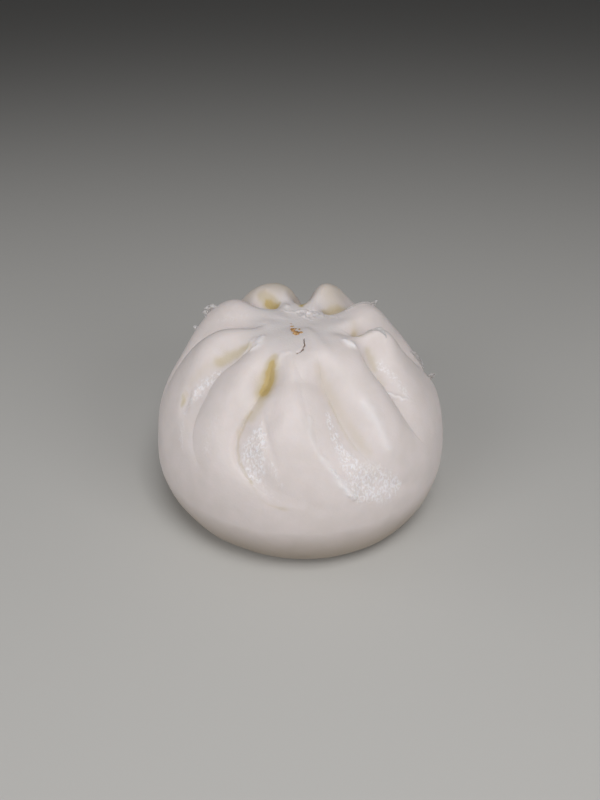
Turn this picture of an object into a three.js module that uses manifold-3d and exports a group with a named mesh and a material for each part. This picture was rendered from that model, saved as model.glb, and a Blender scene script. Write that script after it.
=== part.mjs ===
// A large steamed bun: soft white dough gathered into ten uneven pleats that twist together
// in a knot at the top. Millimetres, +Z up, origin on the flat underside.
// Azimuth 0 points to -Y and grows towards +X. Latitude is 0 at the top, 90 at the widest
// level and 180 at the edge of the underside.
import * as THREE from 'three';
import { mergeVertices } from 'three/addons/utils/BufferGeometryUtils.js';
import Module from 'manifold-3d';

// ---- driving dimensions -------------------------------------------------------------
const RADIUS = 46;            // half the width of the bun
const BELLY_HEIGHT = 18.9;    // level where it is widest
const CROWN_HEIGHT = 63.4;    // top of the dough before the pleats
const BASE_RADIUS = 35;       // flat underside
const BASE_SHIFT = 1.3;       // the bun leans a little over its underside
const TOP_POWER = 2.11;       // superellipse powers of the upper and lower profile
const LOW_POWER = 1.72;
const KNOT_DIP = 2.6;         // hollow round the knot, depth and reach
const KNOT_REACH = 12;
const STAR_DEPTH = 0.2;       // small creases that radiate from the knot
const STAR_COUNT = 13;
const DOUGH = 0xd9d2cf;

// ---- pleats: azimuth and lean in degrees, depths and widths in mm ---------------------
// at, lean, top and low place the fold line; start and foot are the latitudes where the
// fold begins and fades out; left and right are the widths of its two flanks; swell is how
// much the lobe to its right bulges over its edges.
const FOLDS = [
  { at: -134, lean: 0, top: 0, low: 40, start: 12, foot: 74,
    depth: 3.2, left: 4, right: 4, swell: 2.6 },
  { at: -94, lean: 10, top: 58, low: 60, start: 14, foot: 76,
    depth: 3.4, left: 4.5, right: 3, swell: 2.6 },
  { at: -51.5, lean: 8, top: 54, low: 49, start: 18, foot: 78,
    depth: 2.7, left: 8, right: 5, swell: 2 },
  { at: -27, lean: -2, top: 10, low: 50, start: 24, foot: 78,
    depth: 2.9, left: 3.2, right: 6.4, swell: 1.8 },
  { at: 20, lean: 11.5, top: 11, low: 35, start: 20, foot: 75,
    depth: 3.2, left: 6.8, right: 3.8, swell: 2.2 },
  { at: 50.5, lean: 0, top: 0, low: 40, start: 18, foot: 72,
    depth: 2.3, left: 3.8, right: 6.5, swell: 2.4 },
  { at: 96, lean: 10, top: -52, low: 36, start: 15, foot: 76,
    depth: 3.2, left: 3, right: 4, swell: 2.6 },
  { at: 128, lean: 0, top: 10, low: 34, start: 10, foot: 78,
    depth: 3.2, left: 3, right: 3.5, swell: 2.6 },
  { at: 152, lean: 0, top: 0, low: 40, start: 46, foot: 78,
    depth: 2.6, left: 3, right: 4, swell: 2.6 },
  { at: 176, lean: 0, top: 0, low: 42, start: 11, foot: 80,
    depth: 4.8, left: 3.8, right: 3.8, swell: 2.8 },
];
const KNOT_START = -146;      // azimuth of the first fold at the very middle of the knot
const KNOT_BLEND = [4, 20];   // latitudes between which evenly set folds reach their lines

// ---- lobes that stand up round the knot ------------------------------------------------
// inner and outer are how far each one reaches towards the knot and towards the belly.
const CROWN_LOBES = [
  { at: -158, halfWidth: 27, lat: 29, inner: 11, outer: 21, height: 4.8 },
  { at: 160, halfWidth: 14.5, lat: 24, inner: 10, outer: 20, height: 4.8 },
  { at: 108, halfWidth: 23, lat: 25, inner: 11, outer: 12, height: 4.2 },
  { at: -120, halfWidth: 22, lat: 30, inner: 12, outer: 24, height: 4.4 },
  { at: -76, halfWidth: 13, lat: 32, inner: 14, outer: 14, height: 2.6 },
  { at: 77, halfWidth: 13, lat: 28, inner: 8, outer: 10, height: 4 },
];

// ---- hollows pushed into the folds ------------------------------------------------------
// fold is the fold it lies by, beside how many mm to the right of it; across is half its
// width in mm and along half its length in degrees.
const HOLLOWS = [
  { fold: 0, beside: -1, lat: 18, across: 3.6, along: 5, depth: 3.2 },
  { fold: 2, beside: -4.4, lat: 31, across: 4.4, along: 7, depth: 1.8 },
  { fold: 2, beside: -8, lat: 55, across: 1.6, along: 4, depth: 1 },
  { fold: 3, beside: -0.3, lat: 33, across: 2.4, along: 8, depth: 5 },
  { fold: 4, beside: -5.5, lat: 75, across: 5.5, along: 7, depth: 0.7 },
  { fold: 5, beside: 2.4, lat: 31, across: 4.2, along: 6, depth: 2.6 },
  { fold: 6, beside: 0, lat: 21, across: 2.6, along: 5, depth: 1.8 },
  { fold: 7, beside: 0, lat: 16, across: 3, along: 5, depth: 2.4 },
  { fold: 8, beside: -3, lat: 16, across: 4, along: 4, depth: 1.2 },
  { fold: 9, beside: 0, lat: 21, across: 3.4, along: 6, depth: 3.2 },
];

// ---- shallow creases that run down a lobe ---------------------------------------------
const CREASES = [
  { at: -58, lean: 0, top: 0, low: 30, start: 44, foot: 62, depth: 0.7, left: 0.9, right: 2.6 },
  { at: -11, lean: -2, top: 0, low: 20, start: 34, foot: 66, depth: 0.7, left: 2, right: 2 },
  { at: 3, lean: 12, top: 0, low: 25, start: 26, foot: 86, depth: 0.55, left: 0.8, right: 4 },
  { at: 28, lean: 4, top: 0, low: 30, start: 30, foot: 68, depth: 0.6, left: 3, right: 3 },
];

// ---- torn flakes of skin and crumbs of filling, placed by column and latitude ----------
// A column is a place across the pleats: 3.5 is half way between fold 3 and fold 4.
const FLAKES = [
  { column: 0.44, lat: 37, wide: 3.0, tall: 2.6, turn: 20 },
  { column: 0.57, lat: 45, wide: 2.2, tall: 1.8, turn: 60 },
  { column: 5.70, lat: 60, wide: 2.8, tall: 2.4, turn: 10 },
  { column: 5.74, lat: 27, wide: 2.4, tall: 1.2, turn: 80 },
  { column: 6.58, lat: 27, wide: 2.8, tall: 2.2, turn: -30 },
];
const FLAKE_THICKNESS = 0.3;  // as a share of its width
const FLAKE_SIDES = 6;
const CRUMBS = [
  { column: 3.71, lat: 7.0, size: 1.3 },
  { column: 3.80, lat: 8.7, size: 1.0 },
  { column: 3.60, lat: 8.8, size: 0.9 },
  { column: 3.70, lat: 10.2, size: 0.8 },
  { column: 3.64, lat: 5.4, size: 0.8 },
];
const CRUMB_RISE = 0.2;       // height of a crumb's middle over the skin, in sizes

// ---- mesh ---------------------------------------------------------------------------------
const COLUMNS_PER_LOBE = 10;
const ROWS = 46;              // the last row is the flat underside
const GATHER = 0.62;          // how far the columns crowd towards the fold lines
const VALLEY_POWER = 1.3;
const VALLEY_ROUNDING = 0.7;  // mm, keeps the floor of a fold from being a sharp line
const MIDDLE_LATITUDE = 50;   // where a fold line crosses its own azimuth

const clamp = THREE.MathUtils.clamp;
const radians = THREE.MathUtils.degToRad;
const mix = THREE.MathUtils.lerp;
const ease = (x, from, to) => THREE.MathUtils.smoothstep(x, from, to);
const bell = (x) => Math.exp(-x * x);

// Shortest way round from one azimuth to another, in degrees.
function azimuthGap(a, b) {
  return THREE.MathUtils.euclideanModulo(a - b + 180, 360) - 180;
}

// Radius and height of the smooth bun at a latitude.
function profile(latitude) {
  const s = Math.abs(Math.sin(radians(latitude)));
  const c = Math.abs(Math.cos(radians(latitude)));
  if (latitude > 90) {
    const radius = BASE_RADIUS + (RADIUS - BASE_RADIUS) * s ** (2 / LOW_POWER);
    return new THREE.Vector2(radius, BELLY_HEIGHT * (1 - c ** (2 / LOW_POWER)));
  }
  const radius = RADIUS * s ** (2 / TOP_POWER);
  const height = BELLY_HEIGHT + (CROWN_HEIGHT - BELLY_HEIGHT) * c ** (2 / TOP_POWER);
  return new THREE.Vector2(radius, height - KNOT_DIP * bell(radius / KNOT_REACH));
}

// Direction straight out of the smooth bun, in the plane of its profile.
function profileNormal(latitude) {
  const step = 0.05;
  const above = profile(Math.max(latitude - step, 1e-4));
  const below = profile(Math.min(latitude + step, 180));
  const along = below.sub(above).normalize();
  return new THREE.Vector2(-along.y, along.x);
}

// Azimuth of a fold line or crease at a latitude.
function lineAzimuth(line, latitude) {
  const t = (latitude - MIDDLE_LATITUDE) / 40;
  const towardsTop = clamp(-t * 0.8, 0, 1) ** 2;
  const towardsFoot = clamp(t, 0, 0.875) ** 3;
  return line.at + line.lean * clamp(t, -1.25, 0.875)
    + line.top * towardsTop + line.low * towardsFoot;
}

// Fold lines start evenly set round the middle of the knot.
function foldAzimuth(index, latitude) {
  const turns = Math.floor(index / FOLDS.length);
  const place = index - turns * FOLDS.length;
  const even = KNOT_START + (360 / FOLDS.length) * place;
  const own = lineAzimuth(FOLDS[place], latitude);
  return mix(even, own, ease(latitude, KNOT_BLEND[0], KNOT_BLEND[1])) + 360 * turns;
}

function foldStrength(fold, latitude) {
  const fadeIn = ease(latitude, fold.start, fold.start + 14);
  const fadeOut = 1 - ease(latitude, fold.foot - 34, fold.foot);
  return fadeIn * fadeOut;
}

// Depth of one fold at a distance from its line. Near the knot the flanks grow narrow.
function foldDepth(fold, latitude, distance, flank, gap) {
  const width = flank * Math.min(1, Math.max(gap, 1e-3) / (2.6 * flank) + 0.02);
  const away = Math.hypot(distance, VALLEY_ROUNDING) / width;
  return fold.depth * foldStrength(fold, latitude) * Math.exp(-(away ** VALLEY_POWER));
}

// Depth of all hollows. Each one is measured from the line of its own fold.
function hollowDepth(azimuth, latitude, radius) {
  let depth = 0;
  for (const hollow of HOLLOWS) {
    const fromLine = radians(azimuthGap(azimuth, foldAzimuth(hollow.fold, latitude))) * radius;
    const across = Math.abs((fromLine - hollow.beside) / hollow.across) ** 2.4;
    const along = bell((latitude - hollow.lat) / hollow.along);
    depth += hollow.depth * Math.exp(-across) * along;
  }
  return depth;
}

// The lobes that stand up round the knot.
function crownRise(azimuth, latitude) {
  let rise = 0;
  for (const lobe of CROWN_LOBES) {
    const across = Math.abs(azimuthGap(azimuth, lobe.at) / lobe.halfWidth) ** 2.4;
    const reach = latitude < lobe.lat ? lobe.inner : lobe.outer;
    rise += lobe.height * Math.exp(-across) * bell((latitude - lobe.lat) / reach);
  }
  return rise;
}

// The shallow creases on the lobes and the star of creases round the knot.
function creaseDepth(azimuth, latitude, radius) {
  let depth = 0;
  for (const crease of CREASES) {
    const distance = radians(azimuthGap(azimuth, lineAzimuth(crease, latitude))) * radius;
    const width = distance < 0 ? crease.left : crease.right;
    const fadeIn = ease(latitude, crease.start, crease.start + 8);
    const fadeOut = 1 - ease(latitude, crease.foot - 12, crease.foot);
    depth += crease.depth * fadeIn * fadeOut * Math.exp(-(Math.abs(distance / width) ** 1.4));
  }
  const star = ease(latitude, 3, 9) * (1 - ease(latitude, 15, 30));
  return depth - STAR_DEPTH * star * Math.sin(radians(azimuth) * STAR_COUNT + 0.8);
}

// Point of the pleated skin. The whole part of column names a fold, the rest is the share
// of the way to the next fold.
function skinPoint(column, latitude, lift = 0) {
  const index = Math.floor(column);
  const share = column - index;
  const u = share - GATHER * Math.sin(2 * Math.PI * share) / (2 * Math.PI);
  const from = foldAzimuth(index, latitude);
  const to = foldAzimuth(index + 1, latitude);
  const azimuth = mix(from, to, u);
  const place = THREE.MathUtils.euclideanModulo(index, FOLDS.length);
  const left = FOLDS[place];
  const right = FOLDS[(place + 1) % FOLDS.length];

  const smooth = profile(latitude);
  const gap = smooth.x * radians(to - from);
  const strength = mix(foldStrength(left, latitude), foldStrength(right, latitude),
    ease(u, 0.2, 0.8));
  const height = lift + crownRise(azimuth, latitude)
    - foldDepth(left, latitude, u * gap, left.right, gap)
    - foldDepth(right, latitude, (1 - u) * gap, right.left, gap)
    - left.swell * strength * Math.abs(2 * u - 1) ** 3
    - hollowDepth(azimuth, latitude, smooth.x)
    - creaseDepth(azimuth, latitude, smooth.x);

  const point = smooth.addScaledVector(profileNormal(latitude), height);
  const z = latitude >= 180 ? 0 : Math.max(point.y, 0);
  const shift = BASE_SHIFT * clamp(1 - z / BELLY_HEIGHT, 0, 1) ** 1.5;
  const a = radians(azimuth);
  return new THREE.Vector3(point.x * Math.sin(a) + shift, -point.x * Math.cos(a), z);
}

// Latitude of a row: closer rows where the pleats are.
function rowLatitude(row) {
  const t = row / (ROWS - 1);
  return Math.max(1e-3, 180 * (0.62 * t ** 1.35 + 0.38 * t));
}

// A unit sphere whose vertices are moved to the skin. Its last row closes the underside.
function bunGeometry() {
  const columns = COLUMNS_PER_LOBE * FOLDS.length;
  const sphere = new THREE.SphereGeometry(1, columns, ROWS).rotateX(Math.PI / 2);
  sphere.deleteAttribute('normal');
  sphere.deleteAttribute('uv');
  const geometry = mergeVertices(sphere);
  const position = geometry.attributes.position;
  const unit = new THREE.Vector3();
  for (let i = 0; i < position.count; i += 1) {
    unit.fromBufferAttribute(position, i);
    const row = Math.round((Math.acos(clamp(unit.z, -1, 1)) / Math.PI) * ROWS);
    const turn = THREE.MathUtils.euclideanModulo(Math.atan2(unit.x, -unit.y) / (2 * Math.PI), 1);
    const column = Math.round(turn * columns) / COLUMNS_PER_LOBE;
    const point = row === ROWS
      ? new THREE.Vector3(BASE_SHIFT, 0, 0)
      : skinPoint(column, rowLatitude(row));
    position.setXYZ(i, point.x, point.y, point.z);
  }
  return geometry;
}

// Direction out of the skin, from three points of it.
function skinNormal(column, latitude) {
  const here = skinPoint(column, latitude);
  const across = skinPoint(column + 0.05, latitude).sub(here);
  const down = skinPoint(column, latitude + 1).sub(here);
  return down.cross(across).normalize();
}

// A torn flake: a flat point of skin that stands half out of the dough.
function flakeGeometry({ column, lat, wide, tall, turn }) {
  const flake = new THREE.ConeGeometry(wide / 2, tall * 2, FLAKE_SIDES);
  flake.scale(1, 1, FLAKE_THICKNESS);
  flake.rotateY(radians(turn));
  const upright = new THREE.Quaternion();
  upright.setFromUnitVectors(new THREE.Vector3(0, 1, 0), skinNormal(column, lat));
  flake.applyQuaternion(upright);
  const foot = skinPoint(column, lat);
  return flake.translate(foot.x, foot.y, foot.z);
}

// A crumb of filling that sticks to the skin.
function crumbGeometry({ column, lat, size }) {
  const crumb = new THREE.IcosahedronGeometry(size, 0).scale(1, 0.8, 0.75);
  const middle = skinPoint(column, lat, size * CRUMB_RISE);
  return crumb.translate(middle.x, middle.y, middle.z);
}

// ---- joining ------------------------------------------------------------------------------
const wasm = await Module();
wasm.setup();

function solid(geometry) {
  geometry.deleteAttribute('normal');
  geometry.deleteAttribute('uv');
  const merged = mergeVertices(geometry);
  return new wasm.Manifold(new wasm.Mesh({
    numProp: 3,
    vertProperties: new Float32Array(merged.attributes.position.array),
    triVerts: new Uint32Array(merged.index.array),
  }));
}

function geometryOf(manifold) {
  const mesh = manifold.getMesh();
  const geometry = new THREE.BufferGeometry();
  geometry.setAttribute('position', new THREE.BufferAttribute(mesh.vertProperties, 3));
  geometry.setIndex(new THREE.BufferAttribute(mesh.triVerts, 1));
  geometry.computeVertexNormals();
  return geometry;
}

const trimmings = [...FLAKES.map(flakeGeometry), ...CRUMBS.map(crumbGeometry)];
const dough = trimmings.reduce((whole, piece) => whole.add(solid(piece)), solid(bunGeometry()));

const bun = new THREE.Mesh(
  geometryOf(dough),
  new THREE.MeshStandardMaterial({ color: DOUGH, roughness: 0.5, metalness: 0 }),
);
bun.name = 'bun';

const part = new THREE.Group();
part.add(bun);

export default part;
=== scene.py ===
# %% [markdown]
# # A steamed bun, in cells
#
# This file dresses one large steamed bun: white dough, gathered by hand into ten uneven
# pleats that meet in a twisted knot. Run the cells from top to bottom.

# Everything made here has to fit that solid.

# %% Load the frame
import math

import bmesh
import bpy
import numpy as np
from mathutils import Matrix, Vector, noise


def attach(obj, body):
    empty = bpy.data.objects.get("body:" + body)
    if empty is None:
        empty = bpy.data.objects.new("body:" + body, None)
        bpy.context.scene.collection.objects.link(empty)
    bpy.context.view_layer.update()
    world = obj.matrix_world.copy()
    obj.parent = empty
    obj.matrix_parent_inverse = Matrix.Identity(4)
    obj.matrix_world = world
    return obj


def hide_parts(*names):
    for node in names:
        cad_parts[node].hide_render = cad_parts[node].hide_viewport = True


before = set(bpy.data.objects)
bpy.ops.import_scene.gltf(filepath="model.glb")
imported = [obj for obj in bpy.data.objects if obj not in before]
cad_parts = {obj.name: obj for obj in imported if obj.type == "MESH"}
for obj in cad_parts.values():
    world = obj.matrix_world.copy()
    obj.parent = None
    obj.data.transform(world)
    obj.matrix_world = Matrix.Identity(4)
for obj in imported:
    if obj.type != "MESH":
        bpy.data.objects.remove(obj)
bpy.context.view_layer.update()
MM = 0.001

# %% [markdown]
# ## The smooth bun
#
# Before it has pleats, the bun is a body of revolution. A circle would look like a ball and
# a cylinder like a cake, so the profile is a superellipse: one power for the part above the
# widest level and another for the tuck down to the flat underside. Latitude runs from 0 at
# the top, through 90 at the widest level, to 180 at the edge of the underside. Azimuth is 0
# at the front, towards -Y, and grows to the right. All lengths are in millimetres until the
# mesh is written.

# %% The profile of the smooth bun
RADIUS = 46.0
BELLY_HEIGHT = 18.9             # height of the widest level
CROWN_HEIGHT = 63.4
BASE_RADIUS = 35.0              # half the width of the flat underside
BASE_SHIFT = 1.3                # the underside lies this far to the right of the top
TOP_POWER = 2.11                # with a power of 2 the profile would be an ellipse
LOW_POWER = 1.72
KNOT_DIP = 2.6                  # how deep the middle of the top sinks in
KNOT_REACH = 12.0               # about how far from the middle it still does


def ease(x, low, high):
    """0 below low, 1 above high, with a soft start and a soft stop between them."""
    t = np.clip((x - low) / (high - low), 0, 1)
    return t * t * (3 - 2 * t)


def bell(x):
    return np.exp(-x * x)


def profile(latitude):
    """Radius and height of the smooth bun."""
    s = np.abs(np.sin(np.radians(latitude)))
    c = np.abs(np.cos(np.radians(latitude)))
    upper = latitude <= 90
    tuck = BASE_RADIUS + (RADIUS - BASE_RADIUS) * s ** (2 / LOW_POWER)
    radius = np.where(upper, RADIUS * s ** (2 / TOP_POWER), tuck)
    dome = BELLY_HEIGHT + (CROWN_HEIGHT - BELLY_HEIGHT) * c ** (2 / TOP_POWER)
    height = np.where(upper, dome, BELLY_HEIGHT * (1 - c ** (2 / LOW_POWER)))
    return radius, height - KNOT_DIP * bell(radius / KNOT_REACH) * upper


def profile_normal(latitude, step=0.05):
    """The direction straight out of the profile, as a radial and an upward part."""
    r0, z0 = profile(np.maximum(latitude - step, 1e-4))
    r1, z1 = profile(np.minimum(latitude + step, 180))
    length = np.hypot(r1 - r0, z1 - z0)
    return (z0 - z1) / length, (r1 - r0) / length


def around(azimuth, radius, height):
    """Points in space from their azimuth, radius and height."""
    a = np.radians(azimuth)
    return np.stack([radius * np.sin(a), -radius * np.cos(a), height], -1)


levels = np.array([20.0, 90.0, 150.0])
print("radius and height at latitudes", levels, "are", np.round(profile(levels), 1).tolist())

# %% [markdown]
# ## Where the folds run
#
# A cook pinches one pleat after another and turns the bun a little each time, so every fold
# leaves the knot, swirls, and dies out on the belly. Each fold is a line on the bun: its
# azimuth where it crosses latitude 50, its lean, and how far its top and its foot curl
# away. `left` and `right` are the widths of its two flanks, because one flank is often
# steep and the other a broad slope.

# %% The ten folds
def fold(at, lean, top, low, start, foot, depth, left, right, swell, soft):
    """One fold, the swell of the lobe to its right, and how round its valley is."""
    return dict(at=at, lean=lean, top=top, low=low, start=start, foot=foot, depth=depth,
                left=left, right=right, swell=swell, soft=soft)


FOLDS = [
    #   at   lean top low start foot depth left right swell soft
    fold(-134, 0, 0, 40, 12, 74, 3.2, 4.0, 4.0, 2.6, 0.7),
    fold(-99.5, 8, 77, 80, 10, 76, 3.8, 4.5, 3.0, 1.4, 0.3),
    fold(-52.5, 10, 78, 44, 18, 78, 2.0, 10.0, 9.5, 1.0, 4.0),
    fold(-26.8, -10, -16, 85, 22, 80, 2.5, 4.2, 6.8, 1.3, 2.0),
    fold(20, 11.5, 18, 35, 20, 78, 3.4, 6.8, 6.4, 1.5, 0.6),
    fold(51.6, -4, 0, 38, 25, 74, 2.2, 2.0, 6.5, 2.8, 0.9),
    fold(96, 10, -60, 36, 15, 76, 3.2, 3.0, 4.0, 2.6, 0.6),
    fold(128, 0, 10, 34, 10, 78, 3.2, 3.0, 3.5, 2.6, 0.7),
    fold(152, 0, 0, 40, 31, 76, 2.3, 3.4, 4.4, 2.6, 1.2),
    fold(176, 0, 0, 42, 11, 80, 4.8, 3.8, 3.8, 2.8, 0.7),
]
COUNT = len(FOLDS)
KNOT_START = -130               # azimuth of the first fold in the very middle of the knot
KNOT_BLEND = (3, 14)            # latitudes over which the folds leave their even order
MIDDLE_LATITUDE = 50            # where a fold has the azimuth `at`
LEAN_SPAN = 40                  # degrees of latitude over which a fold leans by `lean`
LEAN_LIMITS = (-1.25, 0.875)    # spans above and below the middle where the lean stops
TOP_CURL_RATE = 0.8             # a lower rate puts the full curl nearer to the knot
FADE_IN = 14                    # degrees over which a fold deepens below its start
FADE_OUT = 34                   # degrees over which it dies out above its foot
FLANKS_IN_GAP = 2.6             # flanks that fit between two folds before they narrow
LEAST_FLANK = 0.02              # share of its width that a flank always keeps
VALLEY_POWER = 1.3              # lower than a bell's 2: steep at the line, broad further out


def azimuth_gap(a, b):
    """Shortest way round from azimuth b to azimuth a, in degrees."""
    return (a - b + 180) % 360 - 180


def line_azimuth(line, latitude):
    """Azimuth of a fold or a crease: a slanting line that curls at both ends."""
    t = (latitude - MIDDLE_LATITUDE) / LEAN_SPAN
    lean = line["lean"] * np.clip(t, *LEAN_LIMITS)
    curl_at_top = line["top"] * np.clip(-TOP_CURL_RATE * t, 0, 1) ** 3
    curl_at_foot = line["low"] * np.clip(t, 0, LEAN_LIMITS[1]) ** 3
    return line["at"] + lean + curl_at_top + curl_at_foot


def fold_azimuths(latitude):
    """A row for each fold, and the first once more, a full turn on. In the very middle of
    the knot the lines are evenly set, so that none crosses its neighbour."""
    own = np.array([line_azimuth(f, latitude) for f in FOLDS])
    even = KNOT_START + (360 / COUNT) * np.arange(COUNT)[:, None]
    blend = ease(latitude, *KNOT_BLEND)
    lines = even * (1 - blend) + own * blend
    return np.vstack([lines, lines[:1] + 360])


def fold_strength(f, latitude):
    """1 where a fold is at its deepest, 0 above its start and below its foot."""
    fade_in = ease(latitude, f["start"], f["start"] + FADE_IN)
    fade_out = 1 - ease(latitude, f["foot"] - FADE_OUT, f["foot"])
    return fade_in * fade_out


def fold_depth(f, latitude, distance, flank, gap):
    """Depth of a fold at a distance from its line. Near the knot its flanks are narrow."""
    room = np.maximum(gap, 1e-3) / (FLANKS_IN_GAP * flank)
    width = flank * np.minimum(1, room + LEAST_FLANK)
    valley = np.exp(-(np.hypot(distance, f["soft"]) / width) ** VALLEY_POWER)
    return f["depth"] * fold_strength(f, latitude) * valley


gaps = np.diff(fold_azimuths(np.array([30.0])), axis=0).ravel()
print("at latitude 30 the lobes span, in degrees:", np.round(gaps).astype(int).tolist())

# %% [markdown]
# ## Lobes, hollows and creases
#
# Three more things shape the dough. Round the knot some lobes stand up in soft ends, and the
# two at the back are the tallest. In the folds there are hollows where the dough was
# pushed in. And shallow creases run down the lobes, where the dough was only dented.

# %% Lobes, hollows and creases
CROWN_LOBES = [
    dict(at=-158, half_width=27, lat=29, inner=11, outer=21, height=4.8),
    dict(at=158.5, half_width=15.5, lat=24, inner=10, outer=20, height=4.8),
    dict(at=108, half_width=23, lat=26, inner=8.5, outer=12, height=4.2),
    dict(at=-120, half_width=22, lat=30, inner=12, outer=24, height=4.4),
    dict(at=-76, half_width=13, lat=32, inner=14, outer=14, height=2.6),
    dict(at=78, half_width=12, lat=28, inner=8, outer=10, height=4.2),
]
# fold: the fold it lies by; beside: mm to the right of that fold; across: half its width in
# mm; along: half its length in degrees.
HOLLOWS = [
    dict(fold=0, beside=-1.8, lat=18.5, across=3.6, along=5, depth=3.8),
    dict(fold=2, beside=-4.2, lat=31, across=4.4, along=7, depth=1.5),
    dict(fold=2, beside=-7.0, lat=55, across=1.6, along=4, depth=1.0),
    dict(fold=3, beside=0.0, lat=32, across=4.4, along=7.5, depth=2.5),
    dict(fold=3, beside=4.0, lat=62, across=4.4, along=11, depth=0.9),
    dict(fold=4, beside=-5.0, lat=58, across=4.5, along=12, depth=0.6),
    dict(fold=4, beside=-5.5, lat=75, across=5.5, along=7, depth=0.9),
    dict(fold=5, beside=3.2, lat=31, across=4.2, along=6, depth=2.2),
    dict(fold=6, beside=-0.4, lat=21.5, across=3.1, along=5.5, depth=3.3),
    dict(fold=7, beside=0.0, lat=16, across=3.0, along=5, depth=2.4),
    dict(fold=8, beside=-3.0, lat=16, across=4.0, along=4, depth=1.2),
    dict(fold=9, beside=0.0, lat=21, across=3.4, along=6, depth=3.2),
]
CREASES = [
    dict(at=-58, lean=0, top=0, low=30, start=44, foot=62, depth=0.7, left=0.9, right=2.6),
    dict(at=-27, lean=-10, top=0, low=85, start=46, foot=73, depth=0.8, left=0.5, right=2.4),
    dict(at=-14, lean=-2, top=0, low=20, start=34, foot=62, depth=0.35, left=2.4, right=2.0),
    dict(at=-15.8, lean=20, top=0, low=0, start=43, foot=70, depth=0.4, left=0.7, right=1.2),
    dict(at=5, lean=12, top=0, low=25, start=22, foot=84, depth=0.35, left=1.4, right=4.0),
]
PLATEAU_POWER = 2.4             # higher than a bell's 2: a flatter middle, a steeper rim
CREASE_POWER = 1.4              # lower than 2: a sharper line along the middle
CREASE_FADE_IN = 8              # degrees over which a crease deepens, and then dies out
CREASE_FADE_OUT = 12


def hollow_depth(place, azimuth, latitude, radius, lines):
    from_line = np.radians(azimuth_gap(azimuth, lines[place["fold"]])) * radius
    across = np.abs((from_line - place["beside"]) / place["across"]) ** PLATEAU_POWER
    return place["depth"] * np.exp(-across) * bell((latitude - place["lat"]) / place["along"])


def crown_rise(lobe, azimuth, latitude):
    across = np.abs(azimuth_gap(azimuth, lobe["at"]) / lobe["half_width"]) ** PLATEAU_POWER
    spread = np.where(latitude < lobe["lat"], lobe["inner"], lobe["outer"])
    return lobe["height"] * np.exp(-across) * bell((latitude - lobe["lat"]) / spread)


def crease_depth(crease, azimuth, latitude, radius):
    distance = np.radians(azimuth_gap(azimuth, line_azimuth(crease, latitude))) * radius
    width = np.where(distance < 0, crease["left"], crease["right"])
    across = np.abs(distance / width) ** CREASE_POWER
    fade_in = ease(latitude, crease["start"], crease["start"] + CREASE_FADE_IN)
    fade_out = 1 - ease(latitude, crease["foot"] - CREASE_FADE_OUT, crease["foot"])
    return crease["depth"] * fade_in * fade_out * np.exp(-across)


print(len(CROWN_LOBES), "raised lobes,", len(HOLLOWS), "hollows,", len(CREASES), "creases")

# %% [markdown]
# ## The pleated skin
#
# A place on the skin is a column and a latitude. The whole part of the column names a fold
# and the rest is the share of the way to the next fold, so the columns of the mesh follow
# the folds instead of cutting across them. They also crowd together at the fold lines,
# where the surface turns fastest.

# %% The pleated skin
GATHER = 0.5                    # how strongly the columns crowd together, from 0 to 1
LOBE_BLEND = (0.2, 0.8)         # shares of a lobe over which one fold's fade gives way
SWELL_POWER = 3                 # a higher power rounds a lobe off closer to its folds
SHIFT_POWER = 1.5               # a higher power keeps the lean nearer to the underside


def column_azimuth(column, latitude):
    """Azimuth of a place, its fold, its share of the lobe and the lobe's span."""
    index = np.floor(column).astype(int) % COUNT
    share = column - np.floor(column)
    share = share - GATHER * np.sin(2 * np.pi * share) / (2 * np.pi)
    lines = fold_azimuths(latitude)
    here = np.arange(len(latitude))
    start, end = lines[index, here], lines[index + 1, here]
    return start + share * (end - start), index, share, end - start, lines


def pleat_height(column, latitude):
    """How far the pleated skin lies above the smooth bun, and the azimuth."""
    azimuth, index, share, span, lines = column_azimuth(column, latitude)
    radius, _ = profile(latitude)
    gap = radius * np.radians(span)
    height = np.zeros(len(latitude))
    for k, (left, right) in enumerate(zip(FOLDS, FOLDS[1:] + FOLDS[:1])):
        on = index == k
        lat, u, width = latitude[on], share[on], gap[on]
        blend = ease(u, *LOBE_BLEND)
        strength = fold_strength(left, lat) * (1 - blend) + fold_strength(right, lat) * blend
        height[on] -= left["swell"] * strength * np.abs(2 * u - 1) ** SWELL_POWER
        height[on] -= fold_depth(left, lat, u * width, left["right"], width)
        height[on] -= fold_depth(right, lat, (1 - u) * width, right["left"], width)
    height += sum(crown_rise(lobe, azimuth, latitude) for lobe in CROWN_LOBES)
    height -= sum(hollow_depth(h, azimuth, latitude, radius, lines) for h in HOLLOWS)
    height -= sum(crease_depth(c, azimuth, latitude, radius) for c in CREASES)
    return height, azimuth


def raised(azimuth, latitude, height):
    """Points at a height over the smooth bun, which leans a little over its underside."""
    radius, level = profile(latitude)
    out, up = profile_normal(latitude)
    z = np.where(latitude >= 180, 0, np.maximum(level + up * height, 0))
    points = around(azimuth, radius + out * height, z)
    points[:, 0] += BASE_SHIFT * np.clip(1 - z / BELLY_HEIGHT, 0, 1) ** SHIFT_POWER
    return points


def skin(column, latitude, lift=0.0):
    """Points of the pleated skin, without its fine relief."""
    column = np.atleast_1d(column).astype(float)
    latitude = np.atleast_1d(latitude).astype(float)
    height, azimuth = pleat_height(column, latitude)
    return raised(azimuth, latitude, height + lift)


print("the knot is at a height of", round(float(skin(3.7, 5.0)[0, 2]), 1), "mm")

# %% [markdown]
# ## Strokes on the skin
#
# Many small things run along a way on the skin: a crack, a raised lip, a stain, a torn
# patch. They all use one kind of brush stroke. A stroke is a few stops, each with an
# azimuth, a latitude and a half width in mm. Cutting its corners a few times makes it a
# smooth curve, and `cover` tells for every vertex how far inside the stroke it lies.

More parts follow.
